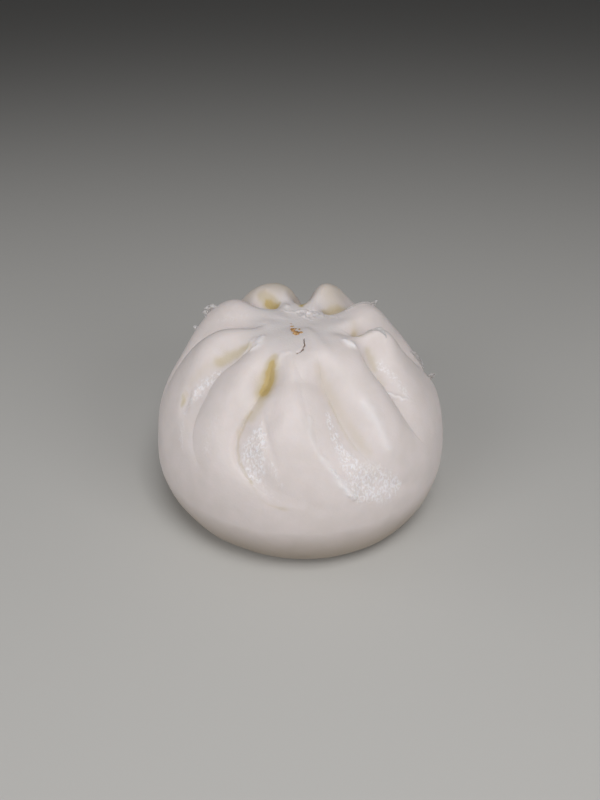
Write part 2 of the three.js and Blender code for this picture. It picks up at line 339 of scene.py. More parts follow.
# %% Strokes on the skin
CUT = 0.25                      # where a corner is cut, as a share of the way to the next
FADED_OUT = 3                   # half widths beyond which nothing is left of a stroke
FAR = 1e3


def smooth_way(stops, rounds=3):
    """The stops with their corners cut, which turns a few of them into a smooth curve."""
    way = np.array(stops, float)
    for _ in range(rounds):
        first, second = way[:-1], way[1:]
        cut = np.empty((2 * len(first), way.shape[1]))
        cut[0::2] = (1 - CUT) * first + CUT * second
        cut[1::2] = CUT * first + (1 - CUT) * second
        way = np.vstack([way[:1], cut, way[-1:]])
    return way


def cover(stops, places, edge=2.0):
    """1 in the middle of a stroke and 0 outside it. A high edge makes its rim crisp."""
    way = smooth_way(stops)
    nodes = around(way[:, 0], *profile(way[:, 1]))
    middle = nodes.mean(axis=0)
    reach = np.linalg.norm(nodes - middle, axis=1).max() + FADED_OUT * way[:, 2].max()
    near = np.linalg.norm(places - middle, axis=1) < reach
    points = places[near]
    nearest = np.full(len(points), FAR)
    for a, b, width_a, width_b in zip(nodes, nodes[1:], way[:, 2], way[1:, 2]):
        along = np.clip((points - a) @ (b - a) / max((b - a) @ (b - a), 1e-9), 0, 1)
        gap = np.linalg.norm(points - a - along[:, None] * (b - a), axis=1)
        nearest = np.minimum(nearest, gap / (width_a + (width_b - width_a) * along))
    result = np.zeros(len(places))
    result[near] = np.exp(-nearest ** edge)
    return result


def covers(strokes, places, edge=2.0):
    """All strokes of a kind together, each with its own amount."""
    return sum(amount * cover(stops, places, edge) for amount, *stops in strokes)


print("a way of 3 stops becomes", len(smooth_way([(0, 0, 1), (9, 9, 1), (9, 20, 1)])), "points")

# %% [markdown]
# ## A mesh that follows the folds
#
# The mesh starts as a unit sphere from `bmesh.ops.create_uvsphere`. Each of its vertices
# knows its row and column, and is moved to that place on the skin. The lobes at the front
# have the finest detail, so they get the most columns, and the rows lie closer together
# among the pleats than on the plain belly. The last few rings shrink to the middle of the
# underside and close it with a flat face.

# %% Rows and columns
COLUMNS_IN_LOBE = [34, 36, 44, 88, 54, 52, 32, 18, 18, 24]
COLUMNS = sum(COLUMNS_IN_LOBE)
ROWS = 246
BASE_ROWS = 10
ROW_STOPS = [0, 36, 176, 208, ROWS - BASE_ROWS]     # rows that reach these latitudes
LATITUDE_STOPS = [0.001, 14, 88, 128, 180]


def new_object(name, bm, smooth=True):
    """Turns a bmesh into an object of the scene, and frees it."""
    mesh = bpy.data.meshes.new(name)
    bm.to_mesh(mesh)
    bm.free()
    mesh.polygons.foreach_set("use_smooth", [smooth] * len(mesh.polygons))
    obj = bpy.data.objects.new(name, mesh)
    bpy.context.scene.collection.objects.link(obj)
    return obj


def sphere_rows_and_columns(mesh):
    """The row of each vertex of a unit sphere, counted from the top, and its column."""
    unit = np.zeros(len(mesh.vertices) * 3)
    mesh.vertices.foreach_get("co", unit)
    x, y, z = unit.reshape(-1, 3).T
    row = np.round(np.arccos(np.clip(z, -1, 1)) / math.pi * ROWS)
    column = np.round(np.arctan2(x, -y) / (2 * math.pi) % 1 * COLUMNS)
    return row, column


bm = bmesh.new()
bmesh.ops.create_uvsphere(bm, u_segments=COLUMNS, v_segments=ROWS, radius=1)
bun = new_object("steamed_bun", bm)
row, column = sphere_rows_and_columns(bun.data)
lobe_starts = np.concatenate([[0], np.cumsum(COLUMNS_IN_LOBE)])
column = np.interp(column, lobe_starts, np.arange(COUNT + 1)) % COUNT
latitude = np.interp(row, ROW_STOPS, LATITUDE_STOPS)
height, azimuth = pleat_height(column, latitude)
smooth_places = around(azimuth, *profile(latitude))
print("the bun has", len(bun.data.polygons), "faces")

# %% [markdown]
# ## Noise for hand-made things
#
# Dough is never as even as a formula. Noise is read at places on the bun, so it doesn't
# depend on how the mesh was cut. Three kinds are kept for later: slow lumps as wide as a
# finger, fine noise for the floor of the torn patches, and `ragged` places, shifted a little
# to and fro, which give strokes a torn edge. Sizes, heights and shifts are in mm.

# %% Noise
SLOW_LUMP_SIZE = 13.0
SLOW_LUMP_HEIGHT = 0.40
SMALL_LUMP_SIZE = 4.5
SMALL_LUMP_HEIGHT = 0.08
FINE_SIZE = 1.7
RAGGED_SIZE = 1.6
RAGGED_SHIFT = 0.9


def noise_at(places, size, seed=0.0):
    """Smooth noise between about -1 and 1, with lumps of a size in mm."""
    shift = Vector((seed, seed * 0.7, -seed))
    return np.array([noise.noise(Vector(p) / size + shift) for p in places])


def shifted(places, size, amount, seed):
    """The places, each moved by up to an amount in all three directions."""
    moves = [noise_at(places, size, seed + k) for k in range(3)]
    return places + amount * np.stack(moves, -1)


lumps = SLOW_LUMP_HEIGHT * noise_at(smooth_places, SLOW_LUMP_SIZE)
lumps += SMALL_LUMP_HEIGHT * noise_at(smooth_places, SMALL_LUMP_SIZE, seed=5)
fine = noise_at(smooth_places, FINE_SIZE, seed=9)
ragged = shifted(smooth_places, RAGGED_SIZE, RAGGED_SHIFT, seed=20)
print("the lumps reach from", round(lumps.min(), 2), "to", round(lumps.max(), 2), "mm")

# %% [markdown]
# ## Torn patches, lips and the crack
#
# While the bun rose, its outer skin tore where the pleats pulled at it. The torn patches
# lie a little deeper than the skin round them, and their floor is crinkled. Some edges were
# pushed up into thin lips. At the knot a hairline crack and a few wrinkles stay. They are
# all cut into the mesh, so that light and shadow are right from every side.

# %% Torn patches, lips and the crack
# Each stroke is an amount, then stops of azimuth, latitude and half width.
TORN = [
    (1.0, (-18.2, 54, 1.6), (-18.4, 58, 3.2), (-18.8, 62, 4.0), (-18.4, 65, 3.8),
     (-17.4, 67.5, 2.8)),
    (0.4, (-17.6, 50, 0.8), (-18.2, 55, 1.8)),
    (0.28, (-16.5, 68.5, 3.0), (-12, 74, 2.2), (-8, 78, 1.4)),
    (0.4, (-11, 63, 0.9), (-8.5, 67.5, 1.4), (-7, 72, 1.2)),
    (0.85, (14, 45.5, 0.8), (15.2, 52.6, 1.2), (16.3, 59.7, 1.7), (18.5, 64, 2.4)),
    (1.0, (20.5, 68, 2.8), (25.5, 74, 5.0), (30, 77.5, 5.2), (35.5, 79, 3.4)),
    (0.3, (-108, 19, 1.4), (-105, 25, 1.9), (-106, 32, 1.8)),
    (0.7, (11.5, 65.5, 0.5), (14.6, 70.3, 1.0), (17.5, 74.6, 1.3), (20.5, 78, 1.8)),
    (0.78, (-55.8, 37, 0.9), (-57.8, 42, 1.5), (-58.6, 47, 2.0), (-60, 53, 1.8), (-60, 56, 0.8)),
    (0.45, (-59, 58.5, 1.2), (-55, 65, 1.3), (-51, 71, 1.0)),
    (0.32, (-38, 52, 1.6), (-40, 58, 2.2), (-38, 66, 1.8)),
    (0.5, (61.7, 34.9, 1.2), (60.6, 40.3, 1.8), (60.1, 47.5, 1.8), (60.5, 53.7, 1.2)),
]
# Every lip is raised in the mesh and made glossier, and the material also paints a bright
# highlight tint onto it.
LIPS = [
    (0.24, (8.2, 61.5, 0.6), (10.6, 64.6, 0.9), (12.6, 67.6, 0.9)),
    (0.48, (11.8, 66.4, 0.7), (13.8, 69.6, 1.2), (16.4, 73.8, 1.4), (19.2, 77.8, 0.9)),
    (0.17, (4.4, 47, 0.8), (4.8, 54.7, 0.8), (8.2, 61.5, 0.8)),
    (0.50, (52.1, 43.2, 0.35), (53.6, 47.5, 0.45), (56.2, 51.1, 0.45), (59.3, 54.2, 0.3)),
    (0.80, (49.5, 20.5, 0.7), (50.8, 22.4, 1.3), (51.8, 24.3, 0.7)),
    (0.42, (-49, 17, 0.7), (-46.5, 19, 1.4), (-43.5, 21.4, 1.0), (-46, 24, 0.4)),
    (0.25, (-55, 19, 0.3), (-52, 22, 0.4), (-51, 26, 0.3)),
    (0.20, (-9.4, 20.8, 0.8), (-14, 21.5, 0.9), (-17.4, 22.9, 0.9), (-18.5, 26.7, 0.6)),
    # A low broad ridge on lobe 4, whose bright tint is a painted sheen.
    (0.28, (32.5, 45, 1.6), (34, 50, 2.0), (35, 58, 2.0), (36.2, 64, 1.4)),
    (-0.12, (-5.5, 22, 0.35), (-5, 25, 0.4), (-1.5, 28, 0.5), (2, 31, 0.5)),
]
RIDGES = [
    (0.22, (-7, 46.7, 1.6), (-8, 55.5, 1.6)),
    (0.60, (-148.6, 24, 1.1), (-151.7, 19.6, 1.2), (-155, 11, 0.9)),
    (0.35, (20, 7, 1.4), (22, 14, 2.0), (24, 22, 2.2)),
]
KNOT_BITS = [
    (0.6, (-135, 9.2, 0.8), (-150, 7.2, 1.2), (-184, 5.8, 1.4)),
    (0.9, (-184, 5.8, 1.2), (-205, 4.8, 1.6), (-230, 3.4, 1.6)),
    (0.7, (-212, 6, 1.2), (-216, 8.2, 1.4), (-240, 9, 1.0), (-260, 11.3, 0.8), (-266, 14.5, 0.5)),
]
CRACK = [(1.0, (6.0, 12.6, 0.38), (4.6, 17.4, 0.42), (3.4, 19.4, 0.45), (-2.6, 21.2, 0.45))]
TORN_EDGE = 2.2                 # a little crisper than the other strokes
TORN_DEPTH = 0.12
CRACK_DEPTH = 0.4
CRACK_WANDER_SIZE = 1.2         # the crack leaves its smooth way in bends of this size,
CRACK_WANDER = 0.35             # by up to this much
WRINKLE_DEPTH = 0.35
WRINKLE_TURNS = 2.2             # more turns give more wrinkles round the knot
WRINKLE_LENGTH = 22             # in degrees of latitude
WRINKLE_FADE_IN = (2, 8)
WRINKLE_FADE_OUT = (17, 32)
SHRED_SIZE = 2.2
SHRED_HEIGHT = 0.40
SHRED_FALL = 1.76               # how steeply a shred falls from its crest
SHRED_FLOOR = -0.16
GRIT_SIZE = 0.9
GRIT_HEIGHT = 0.2
EVEN_FOOT = (130, 170)          # latitudes over which the lumps die out


def partly_ragged(share):
    """Places between the smooth ones and the ragged ones."""
    return ragged * share + smooth_places * (1 - share)


def knot_wrinkles(azimuth, latitude):
    """Uneven wrinkles that radiate from the knot: noise drawn out along the latitudes."""
    a = np.radians(azimuth)
    ring = [WRINKLE_TURNS * np.sin(a), WRINKLE_TURNS * np.cos(a), latitude / WRINKLE_LENGTH]
    strength = ease(latitude, *WRINKLE_FADE_IN) * (1 - ease(latitude, *WRINKLE_FADE_OUT))
    return WRINKLE_DEPTH * strength * noise_at(np.stack(ring, -1), 1.0, seed=3)


def knot_shreds():
    """Thin wandering crests of loose skin, with finer grit over them."""
    shreds = SHRED_HEIGHT - SHRED_FALL * np.abs(noise_at(smooth_places, SHRED_SIZE, seed=12))
    grit = GRIT_HEIGHT * noise_at(smooth_places, GRIT_SIZE, seed=14)
    return np.maximum(shreds, SHRED_FLOOR) + grit


torn = np.clip(covers(TORN, ragged, TORN_EDGE), 0, 1)
lips = covers(LIPS, partly_ragged(0.6))
crack = covers(CRACK, shifted(smooth_places, CRACK_WANDER_SIZE, CRACK_WANDER, seed=40))
bits = np.clip(covers(KNOT_BITS, ragged), 0, 1)
relief = lumps * (1 - ease(latitude, *EVEN_FOOT)) + lips + covers(RIDGES, smooth_places)
relief += torn * (TORN_DEPTH * fine - TORN_DEPTH) - CRACK_DEPTH * crack ** 3
relief += bits * knot_shreds()
relief += knot_wrinkles(azimuth, latitude)
print("torn skin covers", round(100 * float((torn > 0.4).mean()), 1), "% of the vertices")

# %% [markdown]
# ## Move the mesh to its places
#
# Relief is added to the height of the pleats, every vertex goes to its point, and the rings
# of the underside are drawn together in its plane.

# %% Move the mesh to its places
def close_underside(points):
    """Shrinks the last rings to the middle of the flat underside."""
    on_base = row > ROWS - BASE_ROWS
    shrink = ((ROWS - row) / BASE_ROWS)[on_base]
    points[on_base, 0] = BASE_SHIFT + (points[on_base, 0] - BASE_SHIFT) * shrink
    points[on_base, 1] *= shrink
    points[on_base, 2] = 0
    return points


points = close_underside(raised(azimuth, latitude, height + relief))
bun.data.vertices.foreach_set("co", (points * MM).ravel())
bun.data.update()
print("the highest point is at", round(float(points[:, 2].max()), 1), "mm")

# %% [markdown]
# ## What the skin remembers
#
# Colour and gloss are stored on the mesh as named attributes that the material reads. The
# first holds the stains where the filling's juice has soaked to the surface, and painted
# shade in some folds and on the two back lobes. `wet` is the torn, crinkled film, `lip` its
# raised edges, glossier and with a painted highlight, `knot` the grey, half see-through dough
# round the twist, `crack` the dark hairline and `foot` the lower part, with a little tan tone
# where it was close to the steamer and painted shade that darkens it towards the underside.

# %% Store stains and painted shade, wet skin, the knot and the foot
# Each stroke is an amount, then stops of azimuth, latitude and half width.
# The strokes below hold real stains of juice, and also painted shade in some folds and on the two
# back lobes.
STAINS_AND_SHADE = [
    (0.30, (-22.4, 22.8, 0.8), (-22.6, 26.5, 1.5)),
    (0.75, (-22.8, 26.5, 1.2), (-22.8, 31, 2.0), (-23.0, 36, 1.6)),
    (0.35, (-22.6, 25, 2.0), (-22.8, 31, 3.3), (-23.0, 37, 2.8)),
    (0.16, (-20, 25, 1.5), (-19.5, 32, 2.1), (-20.5, 38, 1.8)),
    (0.32, (-22.2, 38, 2.0), (-21.8, 43, 2.5), (-23.5, 49, 1.6)),
    # The next three strokes run down the left edge of fold C to its foot: a brownish stain along
    # the crease, darkened further as painted shade.
    (0.30, (-25, 46, 0.5), (-27.4, 52, 0.8), (-27.6, 58, 0.7), (-26.4, 62, 0.7),
     (-24.2, 65.8, 0.6), (-21.3, 69, 0.6), (-18, 72, 0.5)),
    (0.20, (-18, 72, 0.4), (-14.8, 75.7, 0.4), (-12, 78.3, 0.4), (-7, 80, 0.6)),
    (0.26, (-6, 79.8, 0.9), (-4.5, 80.2, 0.8)),
    (0.50, (-52, 22.6, 1.0), (-57, 27, 1.6), (-61, 31, 2.0), (-61.5, 34.6, 1.7)),
    (0.18, (-63, 37, 2.0), (-65, 42, 2.3), (-65, 49, 1.6)),
    (0.62, (-65.2, 53, 0.5), (-64.2, 55.5, 0.9), (-62.8, 58.5, 0.5)),
    (0.33, (61.5, 28.4, 1.5), (60.2, 31.8, 2.0), (57.8, 35.5, 1.4)),
    (0.22, (55.5, 39, 1.3), (54, 42.5, 1.3)),
    # The next two strokes follow fold D and its broad right flank: a faint olive stain, mostly
    # painted shade of the valley.
    (0.22, (14, 26, 1.6), (16.8, 33, 2.4), (20.5, 43.8, 2.4), (25, 57.6, 2.4), (28, 63, 1.8)),
    (0.12, (17, 40, 0.5), (18.6, 46, 0.55), (21.4, 57.6, 0.5), (23.6, 61.5, 0.4)),
    (0.08, (7, 34, 4.0), (10, 46, 4.0)),
    (0.35, (-143.5, 25, 1.1), (-145, 22.6, 1.5)),
    (0.95, (-143.5, 21.8, 0.9), (-146.5, 19, 1.5), (-150, 16.4, 0.8)),
    (0.55, (141, 13, 0.6), (138.5, 17, 0.8), (136, 20, 1.0), (131, 24, 1.0)),
    (1.00, (176.5, 10.5, 0.8), (176.5, 14, 1.5), (176, 19, 1.6), (177, 23, 0.8)),
    # The next two strokes are painted shade at the end of fold F, under the lobe above it, over a
    # little olive-beige stain.
    (0.22, (84, 19, 1.8), (78, 20.2, 1.8)),
    (0.40, (76, 20.6, 1.2), (68, 22.6, 1.3)),
    # The last three strokes are painted shade: they darken the two back lobes, which turn away
    # from the light, to an olive grey.
    (0.28, (150, 22, 6.0), (155, 30, 6.0)),
    (0.28, (-160, 26, 6.0), (-145, 32, 6.0)),
    (0.14, (-177, 20, 2.5), (-172, 28, 4.5)),
]
SHRED_GLOSS = 0.25              # how wet the loose skin at the knot looks
# A lip this high gets its full painted highlight and its full gloss.
BRIGHT_LIP = 0.45               # mm; a lip as high as this has its full colour
KNOT_RIM = (11, 24)             # latitudes over which the grey of the knot fades out
KNOT_RIM_SWAY = 8               # degrees by which a lump of 1 mm moves that rim
# Over these latitudes the foot darkens: a little tan tone, and mostly painted shade.
FOOT_RIM = (80, 140)            # latitudes over which the foot gets its tone


def store(name, values):
    """Keeps a value from 0 to 1 for every vertex of the bun."""
    layer = bun.data.attributes.new(name, "FLOAT", "POINT")
    layer.data.foreach_set("value", np.clip(values, 0, 1).astype(np.float32))
    print("  ", name, "covers", round(100 * float((values > 0.3).mean()), 1), "% of the mesh")


store("stain_and_shade", covers(STAINS_AND_SHADE, partly_ragged(0.4)))
store("wet", np.maximum(torn, SHRED_GLOSS * bits))
store("lip", lips / BRIGHT_LIP)
store("crack", crack)
store("knot", 1 - ease(latitude + KNOT_RIM_SWAY * lumps, *KNOT_RIM))
# The foot mask: a little tan tone and mostly painted shade, darker towards the underside.
store("foot", ease(latitude, *FOOT_RIM))

# %% [markdown]
# ## Shader helpers
#
# Every material below is built from the same few nodes, so small helpers make a node, a sum
# and a mix of two colours. A helper takes plain values or the outputs of other nodes.

# %% Shader helpers
def plug(tree, socket, value):
    """Sets a socket to a value, or links it where the value is another node's output."""
    if isinstance(value, bpy.types.NodeSocket):
        tree.links.new(value, socket)
    else:
        socket.default_value = value


def add_node(tree, kind, values=None, **settings):
    """A node with values on its named sockets. Settings are its menus and names."""
    node = tree.nodes.new(kind)
    for name, value in settings.items():
        setattr(node, name, value)
    for name, value in (values or {}).items():
        plug(tree, node.inputs[name], value)
    return node


def calculate(tree, operation, *values):
    node = add_node(tree, "ShaderNodeMath", operation=operation)
    for socket, value in zip(node.inputs, values):
        plug(tree, socket, value)
    return node.outputs[0]


def mix_colours(tree, share, a, b):
    """Colour a where the share is 0 and b where it is 1. The colour sockets of this node
    have names that its other sockets also have, so they go by number."""
    node = add_node(tree, "ShaderNodeMix", data_type="RGBA")
    plug(tree, node.inputs[0], share)
    plug(tree, node.inputs[6], a)
    plug(tree, node.inputs[7], b)
    return node.outputs[2]


def noise_texture(tree, place, scale, detail, roughness=0.5, distortion=0.0):
    values = {"Vector": place, "Scale": scale, "Detail": detail, "Roughness": roughness,
              "Distortion": distortion}
    return add_node(tree, "ShaderNodeTexNoise", values).outputs["Fac"]


def bump(tree, height, strength, depth, over=None):
    """A normal bumped to a depth in mm, laid over another normal where one is given."""
    values = {"Height": height, "Strength": strength, "Distance": depth * MM}
    if over is not None:
        values["Normal"] = over
    return add_node(tree, "ShaderNodeBump", values).outputs["Normal"]


def stored(tree, name):
    """What the mesh remembers under a name."""
    return add_node(tree, "ShaderNodeAttribute", attribute_name=name).outputs["Fac"]


def between(tree, value, low, high):
    """0 below low, 1 above high, smooth between them."""
    limits = {"Value": value, "From Min": low, "From Max": high}
    node = add_node(tree, "ShaderNodeMapRange", limits, interpolation_type="SMOOTHSTEP")
    return node.outputs["Result"]


def new_material(name, **sockets):
    """A material, its node tree and its shader, with plain values on the shader's sockets."""
    material = bpy.data.materials.new(name)
    material.use_nodes = True
    shader = material.node_tree.nodes["Principled BSDF"]
    for socket, value in sockets.items():
        shader.inputs[socket.replace("_", " ")].default_value = value
    return material, material.node_tree, shader


print("shader helpers are ready")

# %% [markdown]
# ## Grain and crinkle, as node groups
#
# Steamed dough has a fine grain of pores, and the skin and its torn flakes both show it.
# The torn film is crinkled like wet paper. A pattern that several materials share is a node
# group with named inputs and outputs, built once.

# %% The grain and crinkle groups
CLOUD_WIDTH = 8.0               # in pores
CRINKLE_PULL = 0.6              # below 1 draws the crinkles out upwards
GLINTS_PER_FOLD = 2.2
PATCH_WIDTH = 2.5               # in folds of the crinkle
# The next two rims shape the mask of painted glints: white highlights on the torn film.
GLINT_RIM = (0.42, 0.66)        # noise between these values goes from no fleck to a fleck,
PATCH_RIM = (0.2, 0.46)         # and between these from a bare patch to a flecked one


def start_group(name, outputs):
    """A node group that is given a place and a scale, and makes the named outputs."""
    group = bpy.data.node_groups.new(name, "ShaderNodeTree")
    face = group.interface
    face.new_socket("Vector", in_out="INPUT", socket_type="NodeSocketVector")
    face.new_socket("Scale", in_out="INPUT", socket_type="NodeSocketFloat")
    for output in outputs:
        face.new_socket(output, in_out="OUTPUT", socket_type="NodeSocketFloat")
    given = group.nodes.new("NodeGroupInput")
    made = group.nodes.new("NodeGroupOutput")
    return group, given.outputs, made.inputs


def build_grain_group():
    """Fine pores, and wide clouds of the same grain."""
    group, given, made = start_group("dough_grain", ["Pores", "Clouds"])
    place, scale = given["Vector"], given["Scale"]
    wide = calculate(group, "DIVIDE", scale, CLOUD_WIDTH)
    plug(group, made["Pores"], noise_texture(group, place, scale, detail=4))
    plug(group, made["Clouds"], noise_texture(group, place, wide, detail=3))
    return group


def build_crinkle_group():
    """Small ridges that wander and meet, as on wet paper, and a mask of painted glints, white
    highlights that thin out here and there. The whole is drawn out upwards, as the skin was
    pulled to the knot."""
    group, given, made = start_group("wet_crinkle", ["Height", "Painted_glints"])
    scale = given["Scale"]
    pulled = {"Vector": given["Vector"], "Scale": (1, 1, CRINKLE_PULL)}
    pulled = add_node(group, "ShaderNodeMapping", pulled).outputs["Vector"]
    folds = noise_texture(group, pulled, scale, detail=2, roughness=0.55, distortion=0.9)
    small = calculate(group, "MULTIPLY", scale, GLINTS_PER_FOLD)
    painted_glints = noise_texture(group, pulled, small, detail=1, distortion=0.4)
    wide = calculate(group, "DIVIDE", scale, PATCH_WIDTH)
    patches = noise_texture(group, pulled, wide, detail=1)
    painted_glints = between(group, painted_glints, *GLINT_RIM)
    painted_glints = calculate(group, "MULTIPLY", painted_glints, between(group, patches, *PATCH_RIM))
    plug(group, made["Height"], folds)
    plug(group, made["Painted_glints"], painted_glints)
    return group


def use_group(tree, group, place, scale):
    """The outputs of a group. A scale of 1000 makes its pattern about 1 mm wide."""
    node = add_node(tree, "ShaderNodeGroup", node_tree=group)
    plug(tree, node.inputs["Vector"], place)
    plug(tree, node.inputs["Scale"], scale)
    return node.outputs


grain_group = build_grain_group()
crinkle_group = build_crinkle_group()
print("groups:", grain_group.name, "and", crinkle_group.name)

# %% [markdown]
# ## The dough
#
# Steamed wheat dough is off-white with a breath of pink, and light enters it, so the shader
# has some subsurface scattering. The stored attributes tint the colour: olive-beige stains
# and painted shade in the deep folds, painted shade on the back lobes, grey at the knot,
# and at the foot a brownish tone that is mostly painted shade. Where the skin is torn and
# wet, roughness drops and a crinkled bump breaks the highlight into flecks. White glints
# are painted onto the torn film and a bright tint onto the lips, as painted highlights.

# %% The dough material
DOUGH = (0.740, 0.670, 0.657, 1)
DOUGH_SHADE = (0.705, 0.640, 0.620, 1)
KNOT_GREY = (0.74, 0.69, 0.683, 1)
# Olive-beige: the colour of light stains, and also of the painted shade in folds and on the back
# lobes.
LIGHT_STAIN_AND_SHADE = (0.61, 0.53, 0.41, 1)
STAIN_DEEP = (0.54, 0.415, 0.19, 1)
# The foot tone: a little tan where the bun stood on the steamer, and much darker as painted shade
# of the underside that turns from the light.
FOOT_TONE_AND_SHADE = (0.30, 0.24, 0.17, 1)
# Painted glints: white spots on the torn film that stand in for highlights.
PAINTED_GLINT = (0.86, 0.83, 0.85, 1)
CRACK_TONE = (0.20, 0.125, 0.075, 1)
DOUGH_GRAIN = 1500              # scales of the patterns
FILM_CRINKLE = 700
# A tint comes in between these two values of its mask.
CLOUD_RIM = (0.3, 0.7)
LIGHT_STAIN_AND_SHADE_RIM = (0.02, 0.55)
DEEP_STAIN_RIM = (0.5, 1.0)
CRACK_RIM = (0.72, 0.95)
FILM_RIM = (0.3, 0.95)
FILM_RAGGEDNESS = 0.4           # how much the crinkle adds to the mask of the film
# How much of the colour below a tint covers at most.
KNOT_SHARE = 0.85
FOOT_SHARE = 0.8
LIP_HIGHLIGHT_SHARE = 0.6
GLINT_SHARE = 0.8
# The film gets a little of the painted glint colour all over, as a painted sheen.
FILM_SHEEN_SHARE = 0.12               # the film has a little of the flecks' colour all over
LEAST_ROUGHNESS = 0.38
ROUGHNESS_SPAN = 0.2
WET_DROP = 0.2                  # how much less rough the dough is where it is wet
LIP_GLOSS = 0.8


def torn_film(tree, crinkle):
    """A mask of the torn film, whose rim the crinkle makes ragged, and its painted glints."""
    rim = calculate(tree, "MULTIPLY", crinkle["Height"], FILM_RAGGEDNESS)
    film = between(tree, calculate(tree, "ADD", stored(tree, "wet"), rim), *FILM_RIM)
    painted_glints = calculate(tree, "MULTIPLY_ADD", crinkle["Painted_glints"], GLINT_SHARE, FILM_SHEEN_SHARE)
    return film, calculate(tree, "MULTIPLY", painted_glints, film)


def dough_colour(tree, clouds, painted_glints, lip):
    """One tint over the other, from the plain dough up to the crack."""
    stain_and_shade = stored(tree, "stain_and_shade")
    colour = mix_colours(tree, between(tree, clouds, *CLOUD_RIM), DOUGH_SHADE, DOUGH)
    knot = calculate(tree, "MULTIPLY", stored(tree, "knot"), KNOT_SHARE)
    colour = mix_colours(tree, knot, colour, KNOT_GREY)
    # The light tint: juice stains, and painted shade in some folds and on the back lobes.
    colour = mix_colours(tree, between(tree, stain_and_shade, *LIGHT_STAIN_AND_SHADE_RIM), colour, LIGHT_STAIN_AND_SHADE)
    colour = mix_colours(tree, between(tree, stain_and_shade, *DEEP_STAIN_RIM), colour, STAIN_DEEP)
    # The foot: a little tan tone and mostly painted shade, darker towards the underside.
    foot = calculate(tree, "MULTIPLY", stored(tree, "foot"), FOOT_SHARE)
    colour = mix_colours(tree, foot, colour, FOOT_TONE_AND_SHADE)
    # The lips get a bright tint as a painted highlight.
    painted_lip_highlight = calculate(tree, "MULTIPLY", lip, LIP_HIGHLIGHT_SHARE)
    # Painted highlights: white glints on the torn film.
    colour = mix_colours(tree, calculate(tree, "MAXIMUM", painted_glints, painted_lip_highlight), colour, PAINTED_GLINT)
    crack = between(tree, stored(tree, "crack"), *CRACK_RIM)
    return mix_colours(tree, crack, colour, CRACK_TONE)


def dough_roughness(tree, clouds, film, lip):
    """Satin where the dough is dry, and glossier on the torn film and its lips."""
    dry = calculate(tree, "MULTIPLY_ADD", clouds, ROUGHNESS_SPAN, LEAST_ROUGHNESS)
    gloss = calculate(tree, "MAXIMUM", film, calculate(tree, "MULTIPLY", lip, LIP_GLOSS))
    return calculate(tree, "SUBTRACT", dry, calculate(tree, "MULTIPLY", gloss, WET_DROP))


def build_dough():
    material, tree, shader = new_material(
        "steamed_dough", Subsurface_Weight=0.3, Subsurface_Scale=0.0025,
        Subsurface_Radius=(1.0, 0.8, 0.6), IOR=1.42)
    place = add_node(tree, "ShaderNodeTexCoord").outputs["Object"]
    grain = use_group(tree, grain_group, place, DOUGH_GRAIN)
    crinkle = use_group(tree, crinkle_group, place, FILM_CRINKLE)
    film, painted_glints = torn_film(tree, crinkle)
    lip = stored(tree, "lip")
    plug(tree, shader.inputs["Base Color"], dough_colour(tree, grain["Clouds"], painted_glints, lip))
    plug(tree, shader.inputs["Roughness"], dough_roughness(tree, grain["Clouds"], film, lip))
    pores = bump(tree, grain["Pores"], strength=0.22, depth=0.3)
    folds = calculate(tree, "MULTIPLY", crinkle["Height"], film)
    plug(tree, shader.inputs["Normal"], bump(tree, folds, strength=1.0, depth=0.2, over=pores))
    return material


dough = build_dough()
bun.data.materials.append(dough)
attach(bun, "root")
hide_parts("bun")
print("the dough material has", len(dough.node_tree.nodes), "nodes")

# %% [markdown]
# ## Torn flakes
#
# Along some crests the dry skin has torn off in thin ragged frills. A frill is a narrow
# grid from `bmesh.ops.create_grid`. Its lower edge is buried in the dough, its upper edge
# stands up to an uneven height, and `bmesh.ops.solidify` gives it a thickness.

# %% Torn flakes
# The two ends of each frill are a column and a latitude, its height is in mm, and its lean
# along the skin is in columns and degrees.
FRILLS = [
    dict(start=(0.45, 36.0), end=(0.51, 43.0), height=2.6, lean=(0.0, 1.0), seed=1),
    dict(start=(0.47, 37.0), end=(0.48, 41.5), height=1.6, lean=(0.03, 0.0), seed=8),
    dict(start=(0.548, 47.2), end=(0.556, 49.6), height=1.5, lean=(0.0, 0.5), seed=2),
    dict(start=(5.74, 60.0), end=(5.765, 64.5), height=2.4, lean=(0.0, -1.0), seed=3),
    dict(start=(6.29, 53.0), end=(6.24, 69.0), height=1.5, lean=(0.0, 0.0), seed=4),
    dict(start=(5.66, 23.5), end=(5.53, 31.5), height=1.4, lean=(0.02, 0.0), seed=5),
    dict(start=(6.60, 17.0), end=(6.58, 29.0), height=1.1, lean=(0.0, 0.0), seed=6),
    dict(start=(6.57, 26.0), end=(6.60, 29.5), height=2.2, lean=(0.0, 1.5), seed=7),
]
FRILL_STEPS = 30
FRILL_ROWS = 6
FRILL_THICKNESS = 0.2
FRILL_ROOT = 0.5                # mm of it that are buried in the dough
FRILL_CRUMPLE = 0.012           # in columns for each mm of its height
FRILL_WAVE = 0.02               # in columns
CRUMPLES = 8                    # about how many there are along a frill
WAVES = 5
MEAN_HEIGHT = 0.85              # this and the next three are shares of the full height
LEAST_HEIGHT = 0.5
BIG_TOOTH = 0.45
SMALL_TOOTH = 0.15
BIG_TEETH = 4                   # about how many there are along a frill
SMALL_TEETH = 14


def frill_height(share, full, seed):
    """An uneven height along a frill: high in the middle, with teeth."""
    teeth = BIG_TOOTH * noise.noise(Vector((share * BIG_TEETH, seed * 3.1, 0)))
    teeth += SMALL_TOOTH * noise.noise(Vector((share * SMALL_TEETH, seed * 1.7, 4)))
    return full * max(MEAN_HEIGHT + teeth, LEAST_HEIGHT) * math.sin(math.pi * share) ** 0.5


